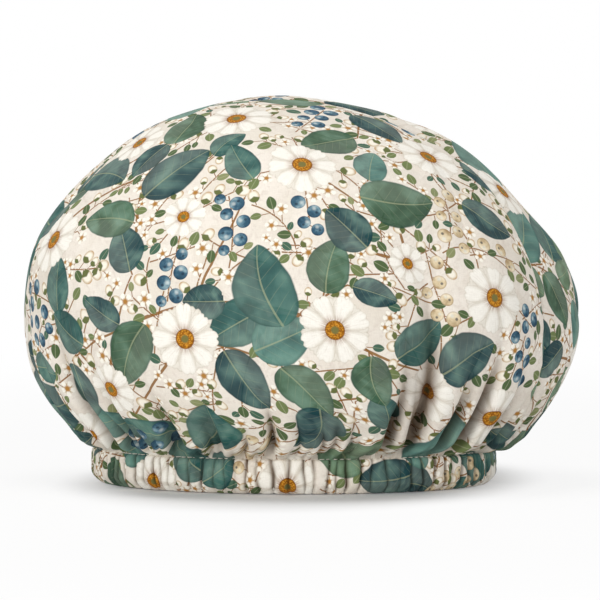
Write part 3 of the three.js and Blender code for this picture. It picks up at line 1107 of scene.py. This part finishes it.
def flowerGroup():  # an open blossom of notched petals in two rows, with a disc of stamens
    g, place, end = makeGroup("PrintFlower", "Place", ("Colour", "Mask"))
    look = flowerLook
    x, y, seed = g.split(place)
    r = g.length(x, y)
    angle = g.calc("ARCTAN2", y, x)
    grain = g.join(x, y, seed * 30.0)
    wobble = (g.noise(grain, 2.4, 2.0) - 0.5) * 0.16

    def petals(shift, size):
        turn = (angle + wobble) * (look["petals"] / (2 * math.pi)) + shift
        cell = g.calc("FLOOR", turn)
        k = turn - cell - 0.5
        side = abs(k) * 2.0  # 0 along a petal's middle, 1 between two petals
        own = ((cell * 12.9 + seed * 71.0).sine() * 43.7).fraction()
        tip = size - side**3.2 * 0.36
        tip = tip - g.step(side, 0.22, 0.0) * 0.05 + (own - 0.5) * 0.12
        streak = g.noise(g.join(k * 9.0, r * 1.2, cell + seed * 9.0), 2.2, 2.0)
        shade = g.step(side, 0.5, 1.0) * 0.7 + g.step(streak, 0.5, 0.8) * 0.4
        return g.step(tip - r, 0.0, 0.035), shade + g.step(tip - r, 0.09, 0.0) * 0.45

    lowMask, lowShade = petals(0.5, look["lowSize"])
    topMask, topShade = petals(0.0, look["topSize"])
    lowColour = g.blend(lowShade * 0.6 + 0.25, look["white"], look["shadow"])
    topColour = g.blend(topShade * 0.55, look["white"], look["shadow"])
    colour = g.blend(topMask, lowColour, topColour)
    rays = g.noise(g.join(angle * 6.0, r * 0.8, seed), 3.0, 1.0)
    colour = g.blend(g.step(r, 0.52, 0.2) * 0.8 * g.step(rays, 0.25, 0.65), colour, look["rays"])
    disc = g.blend(g.step(g.noise(grain, 22.0, 1.0), 0.4, 0.65), look["discDark"], look["discLight"])
    disc = g.blend(g.step(r, 0.14, 0.08), disc, look["heart"])
    disc = g.blend(g.step(r, 0.21, 0.27) * 0.65, disc, look["discEdge"])
    g.put(end["Colour"], g.blend(g.step(r, 0.285, 0.265), colour, disc))
    g.put(end["Mask"], g.calc("MAXIMUM", lowMask, topMask))
    return g.tree


berryLook = {
    "blue": [
        (0.1, paint(34, 62, 80)),
        (0.45, paint(64, 100, 122)),
        (0.68, paint(114, 148, 162)),
        (0.95, paint(178, 198, 204)),
    ],
    "cream": [(0.1, paint(176, 150, 112)), (0.5, paint(226, 208, 172)), (0.9, paint(250, 240, 218))],
    "green": [(0.1, paint(92, 124, 116)), (0.5, paint(142, 168, 156)), (0.9, paint(196, 210, 196))],
    "edges": (paint(40, 60, 84), paint(150, 116, 78), paint(70, 100, 92)),
    "shine": paint(228, 232, 228),
    "crown": paint(38, 50, 66),
}


def berryGroup():  # a round berry with a lit side, a dark side and a small crown
    g, place, end = makeGroup("PrintBerry", "Place", ("Colour", "Mask"))
    look = berryLook
    x, y, seed = g.split(place)
    r = g.length(x, y)
    value = (y * 0.6 - x * 0.2) * 0.5 + g.noise(g.join(x, y, seed * 50.0), 1.4, 2.0)
    isPale, isGreen = seed > 1.0, seed > 2.0

    def byKind(blue, cream, green):
        return g.blend(isGreen, g.blend(isPale, blue, cream), green)

    colour = byKind(*(g.ramp(value, look[kind]) for kind in ("blue", "cream", "green")))
    colour = g.blend(g.step(r, 0.72, 1.0) * 0.55, colour, byKind(*look["edges"]))
    colour = g.blend(g.step(g.length(x + 0.3, y - 0.32), 0.42, 0.05) * 0.55, colour, look["shine"])
    colour = g.blend(g.step(g.length(x - 0.35, y - 0.1), 0.26, 0.12) * 0.75, colour, look["crown"])
    g.put(end["Colour"], colour)
    g.put(end["Mask"], g.step(r, 1.0, 0.93))
    return g.tree


budLook = {
    "leafTones": [
        (0.0, paint(84, 104, 68)),
        (0.4, paint(116, 130, 84)),
        (0.7, paint(74, 106, 88)),
        (0.88, paint(142, 148, 104)),
    ],
    "leafRib": paint(190, 194, 160),
    "bud": paint(250, 244, 230),
    "budEdge": paint(200, 178, 142),
    "budTip": paint(190, 136, 72),
    "cup": paint(104, 112, 66),
    "blossom": paint(252, 248, 238),
    "blossomEdge": paint(190, 168, 132),
    "blossomHeart": paint(178, 128, 62),
    "petals": 5,
}


def budGroup():  # small leaves (seed under 1), buds in a green cup (1 to 2) and small blossoms (over 2)
    g, place, end = makeGroup("PrintBud", "Place", ("Colour", "Mask"))
    look = budLook
    x, y, seed = g.split(place)
    isBlossom = seed > 2.0
    isBud = (seed > 1.0) - isBlossom
    isLeaf = 1.0 - isBud - isBlossom
    side = abs(y)
    s = g.clamped((x + 1.0) * 0.5)
    leafIn = s**0.6 * (1.0 - s) ** 0.7 * 1.7 - side
    oval = (x * x * 0.95 + y * y * 1.5) ** 0.5
    r = g.length(x, y)
    fifth = g.calc("ARCTAN2", y, x) * (look["petals"] / (2 * math.pi))
    lobe = abs((fifth + seed).fraction() - 0.5)
    blossomIn = 1.06 - (lobe * 2.0) ** 2.4 * 0.42 - r
    tone = g.ramp(g.hashOf(seed, 5.3), look["leafTones"], constant=True)
    leaf = g.blend(g.step(side, 0.1, 0.0) * 0.4, tone, look["leafRib"])
    bud = g.blend(g.step(oval, 0.45, 1.0), look["bud"], look["budEdge"])
    bud = g.blend(g.step(x, 0.6, 0.95) * 0.5, bud, look["budTip"])
    bud = g.blend(g.step(x + side * 0.5, 0.05, -0.15), bud, look["cup"])
    blossom = g.blend(g.step(lobe, 0.25, 0.5), look["blossom"], look["blossomEdge"])
    blossom = g.blend(g.step(r, 0.55, 0.2), blossom, look["blossomHeart"])
    inside = blossomIn * isBlossom + (1.0 - oval) * isBud + leafIn * isLeaf
    g.put(end["Colour"], g.blend(isBlossom, g.blend(isBud, leaf, bud), blossom))
    g.put(end["Mask"], g.step(inside, 0.0, 0.09))
    return g.tree


def stemGroup():  # a thin line: x along it and y across, in millimetres, z the line's code
    g, place, end = makeGroup("PrintStem", "Place", ("Mask",))
    x, y, code = g.split(place)
    half = code % lineCode["halfLengthUnder"]
    width = (code - half) * (1 / lineCode["perWidth"])
    past = g.calc("MAXIMUM", abs(x) - half, 0.0)
    g.put(end["Mask"], g.step(width - g.length(past, y), -0.06, 0.12))
    return g.tree


motifKinds = {
    "twigs": stemGroup(),
    "buds": budGroup(),
    "leavesA": leafGroup(),
    "berries": berryGroup(),
    "flowers": flowerGroup(),
}
for layer, other in (("stems", "twigs"), ("leavesB", "leavesA"), ("leavesC", "leavesA")):
    motifKinds[layer] = motifKinds[other]
groundLook = {
    "cream": (paint(242, 235, 225), paint(232, 224, 211)),
    "brush": paint(218, 206, 194),
    "wood": (paint(134, 78, 28), paint(146, 108, 44)),
}
# how much of the cloth each layer covers, from the ground up
layerCover = {
    "twigs": 0.92,
    "stems": 0.92,
    "buds": 1.0,
    "leavesC": 0.97,
    "leavesB": 0.97,
    "leavesA": 0.97,
    "berries": 1.0,
    "flowers": 1.0,
}


def printGroup():
    g, cloth, end = makeGroup("BotanicalPrint", "Cloth", ("Colour",))
    look = groundLook
    mapping = g.new("ShaderNodeMapping")
    g.put(mapping.inputs["Scale"], (1, 1, 0))
    g.put(mapping.inputs["Vector"], cloth)
    flatCloth = mapping.outputs[0]
    blot = g.noise(flatCloth, 0.035, 4.0, 0.6, 0.8)
    brush = g.noise(flatCloth, 0.22, 3.0, 0.55, 1.2)
    colour = g.blend(g.step(blot, 0.35, 0.7), *look["cream"])
    colour = g.blend(g.step(brush, 0.48, 0.72) * 0.5, colour, look["brush"])
    wood = g.blend(g.noise(flatCloth, 0.09, 2.0), *look["wood"])
    for layer, cover in layerCover.items():
        motif = g.group(motifKinds[layer], g.attribute(layer))
        share = motif["Mask"] * cover if cover < 1 else motif["Mask"]
        colour = g.blend(share, colour, motif.get("Colour", wood))
    g.put(end["Colour"], colour)
    return g.tree


weaveLook = {"thread": 0.46, "along": 0.35, "across": 2.6, "weaveShare": 0.25, "slubShare": 0.5}


def weaveGroup():  # height of a plain weave with fine slubs, on a flat place in millimetres
    g, cloth, end = makeGroup("PlainWeave", "Cloth", ("Height", "Slub"))
    look = weaveLook
    u, v, _ = g.split(cloth)
    perThread = 2 * math.pi / look["thread"]
    weave = (u * perThread).sine() * (v * perThread).sine()
    slub = g.noise(g.join(u * look["along"], v * look["across"], 0.0), 1.0, 2.0)
    slub = slub + g.noise(g.join(u * look["across"], v * look["along"], 4.0), 1.0, 2.0)
    g.put(end["Height"], weave * look["weaveShare"] + slub * look["slubShare"])
    g.put(end["Slub"], slub)
    return g.tree


wholePrint, plainWeave = printGroup(), weaveGroup()


def principled(name, finish):
    material = bpy.data.materials.new(name)
    material.use_nodes = True
    shader = next(n for n in material.node_tree.nodes if n.type == "BSDF_PRINCIPLED")
    for key, value in finish.items():
        shader.inputs[key].default_value = value
    return material, Nodes(material.node_tree), shader


cotton = {
    "finish": {"Specular IOR Level": 0.12, "Sheen Weight": 0.04, "Sheen Roughness": 0.5},
    "roughness": 0.74,
    "slubRoughness": 0.1,
    "bump": {"strength": 0.35, "distance": 0.00012},
    "slub": paint(150, 140, 120),
    "wrongSide": paint(238, 232, 220),
    "paler": 0.66,
    # painted shade in the valleys of the gathers and pleats: its colour and its strength where they are
    # deepest
    "valley": paint(118, 98, 80),
    "valleyShadeShare": 0.88,
}


def clothMaterial(name, inside):  # the wrong side is paler, as the print's colour comes only partly through
    material, g, shader = principled(name, cotton["finish"])
    cloth = g.attribute("clothPlaceAndShade")
    colour = g.group(wholePrint, cloth)["Colour"]
    weave = g.group(plainWeave, cloth)
    if inside:
        colour = g.blend(cotton["paler"], colour, cotton["wrongSide"])
    colour = g.blend(g.step(weave["Slub"], 0.8, 1.25) * 0.10, colour, cotton["slub"], "MULTIPLY")
    if not inside:  # painted shade: the valleys of the gathers are darkened in the colour, as the gathers go deeper than the sheet that is modelled
        _, _, valley = g.split(cloth)
        dark = g.step(valley, 0.12, 0.95) * cotton["valleyShadeShare"]
        colour = g.blend(dark, colour, cotton["valley"], "MULTIPLY")
    g.put(shader.inputs["Base Color"], colour)
    g.put(shader.inputs["Roughness"], weave["Slub"] * cotton["slubRoughness"] + cotton["roughness"])
    g.bump(shader, weave["Height"], **cotton["bump"])
    return material


thread = {
    "finish": {"Roughness": 0.6},
    "twistScale": 900,
    "dark": paint(214, 206, 190),
    "light": paint(246, 242, 232),
}


def threadMaterial():
    material, g, shader = principled("sewing_thread", thread["finish"])
    place = g.new("ShaderNodeTexCoord").outputs["Object"]
    twist = g.new("ShaderNodeTexWave", place, wave_type="BANDS", bands_direction="DIAGONAL")
    twist.inputs["Scale"].default_value = thread["twistScale"]
    g.put(shader.inputs["Base Color"], g.blend(twist.outputs["Fac"], thread["dark"], thread["light"]))
    return material


braid = {
    "finish": {"Roughness": 0.8},
    "cordPitch": 1.1,
    "rungsPerRadian": 560.0,
    "bump": {"strength": 0.6, "distance": 0.0003},
    # painted shade in the braid's grooves and painted light on its cords
    "dark": paint(206, 202, 192),
    "light": paint(246, 244, 238),
}


def elasticMaterial():
    material, g, shader = principled("braided_elastic", braid["finish"])
    x, y, z = g.split(g.new("ShaderNodeTexCoord").outputs["Object"])
    cord = (z * (2 * math.pi / (braid["cordPitch"] * mm))).sine()
    rung = (g.calc("ARCTAN2", y, x) * braid["rungsPerRadian"]).sine()
    height = cord * 0.6 + cord * rung * 0.4
    # painted shade and light: the colour is darker in the grooves and lighter on the cords, following the
    # bump's height
    g.put(shader.inputs["Base Color"], g.blend(g.step(height, -0.6, 0.6), braid["dark"], braid["light"]))
    g.bump(shader, height, **braid["bump"])
    return material


outsideCloth = clothMaterial("printed_cotton", False)
insideCloth = clothMaterial("printed_cotton_wrong_side", True)
for ob in (frontPanel, backPanel, bandPiece):
    ob.data.materials.append(outsideCloth)
    ob.data.materials.append(insideCloth)

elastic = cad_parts["elastic_band"]
elastic.data.materials.clear()
elastic.data.materials.append(elasticMaterial())
print("materials made")

stitch = {
    "length": 2.3,
    "pitch": 3.1,
    "radius": 0.2,
    "inset": 0.35,
    "dip": 0.75,
    "sunk": 0.8,
    "height": 16.95,
    "sides": 6,
    "rings": 7,
}


def stitches():  # a row of lockstitch along the band's top, each a short thread that dips in at both ends
    meanRadius = (band["halfWidth"] + band["halfDepth"]) / 2
    count = int(2 * np.pi * meanRadius / stitch["pitch"])
    halfTurn = stitch["length"] / 2 / meanRadius
    sides, rings = stitch["sides"], stitch["rings"]
    up = np.array([0, 0, 1])
    points, faces = [], []
    for k in range(count):
        centre = 2 * np.pi * k / count
        first = len(points)
        for i in range(rings):
            t = i / (rings - 1) * 2 - 1
            turn = centre + halfTurn * t
            sunk = stitch["sunk"] * band["pleatDepth"] * float(bandValleys(np.array([turn]), 0)[0])
            inset = stitch["inset"] + stitch["dip"] * abs(t) ** 3 + sunk
            out = np.array([math.cos(turn), math.sin(turn), 0])
            x = (band["halfWidth"] - inset) * out[0] - band["shift"]
            middle = np.array([x, (band["halfDepth"] - inset) * out[1], stitch["height"]])
            thin = stitch["radius"] * (1 - 0.25 * abs(t) ** 4)
            for s in range(sides):
                a = 2 * np.pi * s / sides
                points.append(middle + thin * (math.cos(a) * out + math.sin(a) * up))
        for i in range(rings - 1):
            for s in range(sides):
                a, b = first + i * sides + s, first + i * sides + (s + 1) % sides
                faces.append((a, b, b + sides, a + sides))
        faces.append(tuple(first + s for s in range(sides))[::-1])
        faces.append(tuple(first + (rings - 1) * sides + s for s in range(sides)))
    mesh = bpy.data.meshes.new("band_stitches")
    mesh.from_pydata([tuple(p * mm) for p in points], [], faces)
    mesh.polygons.foreach_set("use_smooth", np.ones(len(mesh.polygons), bool))
    mesh.materials.append(threadMaterial())
    return linked("band_stitches", mesh)


stitchPiece = stitches()
print("stitches made")

for ob, nodes, slot in (
    (frontPanel, ["crown_front"], "print_cloth"),
    (backPanel, ["crown_back"], "print_cloth"),
    (bandPiece, ["band_casing"], "band_cloth"),
):
    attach(ob, "root")
    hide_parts(*nodes)
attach(stitchPiece, "root")

# stage, light and camera, in metres and degrees
floorLook = {
    "half": 3.0,
    "drop": 0.0002,
    "colour": paint(229, 229, 230),
    "depthShare": 0.6,  # a distance counts for less from front to back, so the shadow reaches further there
    "lift": (0.06, 0.84),  # how much lighter the camera sees the floor at the band, and away from it
    "liftFrom": (0.072, 0.122),
    "whiteFrom": (0.22, 0.6),
}
sky = {"colour": (1.0, 0.99, 0.975, 1), "strength": 0.49, "seen": (1, 1, 1, 1)}
lamps = {
    "key": {"place": (-0.22, -0.05, 1.35), "size": 0.7, "power": 6.2, "colour": (1.0, 0.985, 0.965)},
    "front": {"place": (-0.75, -1.55, 0.17), "size": 0.5, "power": 12.4, "colour": (1.0, 0.99, 0.97)},
    "right": {"place": (1.4, -1.1, 0.4), "size": 0.8, "power": 6.6, "colour": (1.0, 0.99, 0.98)},
}
lampAim = (0, 0, 0.08)
view = {"away": 5.0, "turn": 8.0, "up": 3.5, "aimHeight": 0.0885, "frameWidth": 0.2919, "sensor": 36}


def floorMaterial():
    material = bpy.data.materials.new("floor")
    material.use_nodes = True
    g = Nodes(material.node_tree)
    g.tree.nodes.clear()
    seen = g.new("ShaderNodeLightPath").outputs["Is Camera Ray"]
    flat = g.new("ShaderNodeVectorMath", g.new("ShaderNodeTexCoord").outputs["Object"], operation="MULTIPLY")
    flat.inputs[1].default_value = (1, floorLook["depthShare"], 1)
    away = g.new("ShaderNodeVectorMath", flat.outputs[0], operation="LENGTH").outputs["Value"]
    # the camera sees a floor whose shadows get lighter away from the band; the cap is lit by a plain pale one
    low, high = floorLook["lift"]
    lift = g.step(away, *floorLook["liftFrom"]) * (high - low) + low
    colour = g.blend((lift - 0.04) * seen, floorLook["colour"], paint(0, 0, 0))
    glow = g.new("ShaderNodeEmission", None, lift * seen)
    shaded = g.new("ShaderNodeAddShader", g.new("ShaderNodeBsdfDiffuse", colour).outputs[0], glow.outputs[0])
    white = g.new("ShaderNodeEmission").outputs[0]
    far = g.step(away, *floorLook["whiteFrom"]) * seen
    above = g.new("ShaderNodeMixShader", far, shaded.outputs[0], white).outputs[0]
    underneath = g.new("ShaderNodeNewGeometry").outputs["Backfacing"]  # looked through from below
    clear = g.new("ShaderNodeBsdfTransparent").outputs[0]
    g.new("ShaderNodeOutputMaterial", g.new("ShaderNodeMixShader", underneath, above, clear).outputs[0])
    return material


def makeFloor():
    half = floorLook["half"]
    corners = [(x * half, y * half, 0) for x, y in ((-1, -1), (1, -1), (1, 1), (-1, 1))]
    mesh = bpy.data.meshes.new("floor")
    mesh.from_pydata(corners, [], [(0, 1, 2, 3)])
    mesh.materials.append(floorMaterial())
    floor = linked("floor", mesh)
    floor.location.z = -floorLook["drop"]


def makeSky():  # a white background; the cap is lit by a softer one
    world = bpy.data.worlds.new("studio")
    bpy.context.scene.world = world
    world.use_nodes = True
    g = Nodes(world.node_tree)
    g.tree.nodes.clear()
    light = g.new("ShaderNodeBackground", sky["colour"], sky["strength"])
    white = g.new("ShaderNodeBackground", sky["seen"])
    path = g.new("ShaderNodeLightPath")
    seen = g.calc("MAXIMUM", path.outputs["Is Camera Ray"], path.outputs["Is Glossy Ray"])
    seen = g.calc("MAXIMUM", seen, path.outputs["Is Transmission Ray"])
    both = g.new("ShaderNodeMixShader", seen, light.outputs[0], white.outputs[0])
    g.new("ShaderNodeOutputWorld", both.outputs[0])


def aimed(ob, place, aim):
    ob.location = place
    ob.rotation_euler = (Vector(aim) - Vector(place)).to_track_quat("-Z", "Y").to_euler()
    return ob


def areaLight(name, place, size, power, colour):
    data = bpy.data.lights.new(name, "AREA")
    data.shape, data.size, data.energy, data.color = "DISK", size, power, colour
    aimed(linked(name, data), place, lampAim)


def makeCamera():
    data = bpy.data.cameras.new("camera")
    data.sensor_width = view["sensor"]
    data.lens = view["sensor"] * view["away"] / view["frameWidth"]
    turn, up = math.radians(view["turn"]), math.radians(view["up"])
    aim = Vector((0, 0, view["aimHeight"]))
    out = Vector((math.sin(turn) * math.cos(up), -math.cos(turn) * math.cos(up), math.sin(up)))
    bpy.context.scene.camera = aimed(linked("camera", data), aim + view["away"] * out, aim)


makeFloor()
makeSky()
for name, lamp in lamps.items():
    areaLight(name, **lamp)
makeCamera()
bpy.context.scene.view_settings.view_transform = "Standard"
print("stage, light and camera made")
